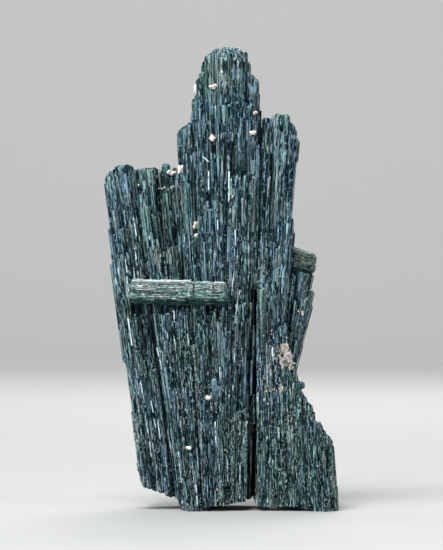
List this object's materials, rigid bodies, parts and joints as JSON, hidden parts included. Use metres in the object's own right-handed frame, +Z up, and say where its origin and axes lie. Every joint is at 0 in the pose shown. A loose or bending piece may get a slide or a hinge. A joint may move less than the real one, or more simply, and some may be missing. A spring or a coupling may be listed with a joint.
{
  "type": "crystal cluster",
  "caption": "Upright cluster of dark blue-green striated prismatic crystals that fan upwards from a broken base, with a stout crystal lying across the front and small cream grains.",
  "frame": {"origin": "on the ground under the middle of the whole cluster, at the level of the cut base", "axes": "+Z up along the crystals, +Y away from the front that carries the cross crystal, +X to the right seen from the front"},
  "size_m": [0.0466, 0.0214, 0.092],
  "materials": {
    "elbaite": "satin",
    "cross_elbaite": "satin",
    "beryllonite": "matte"
  },
  "bodies": {
    "root": {"left_spray": "elbaite", "centre_spray": "elbaite", "shoulder_spray": "elbaite", "foot_spray": "elbaite", "side_spray": "elbaite", "stub_crystal": "elbaite", "cross_crystal": "cross_elbaite", "beryllonite_crust": "beryllonite", "beryllonite_grain_1": "beryllonite", "beryllonite_grain_2": "beryllonite", "beryllonite_grain_3": "beryllonite", "beryllonite_grain_4": "beryllonite", "beryllonite_grain_5": "beryllonite", "beryllonite_grain_6": "beryllonite", "beryllonite_grain_7": "beryllonite", "beryllonite_grain_8": "beryllonite", "beryllonite_grain_9": "beryllonite", "beryllonite_grain_10": "beryllonite", "beryllonite_grain_11": "beryllonite"}
  },
  "joints": []
}
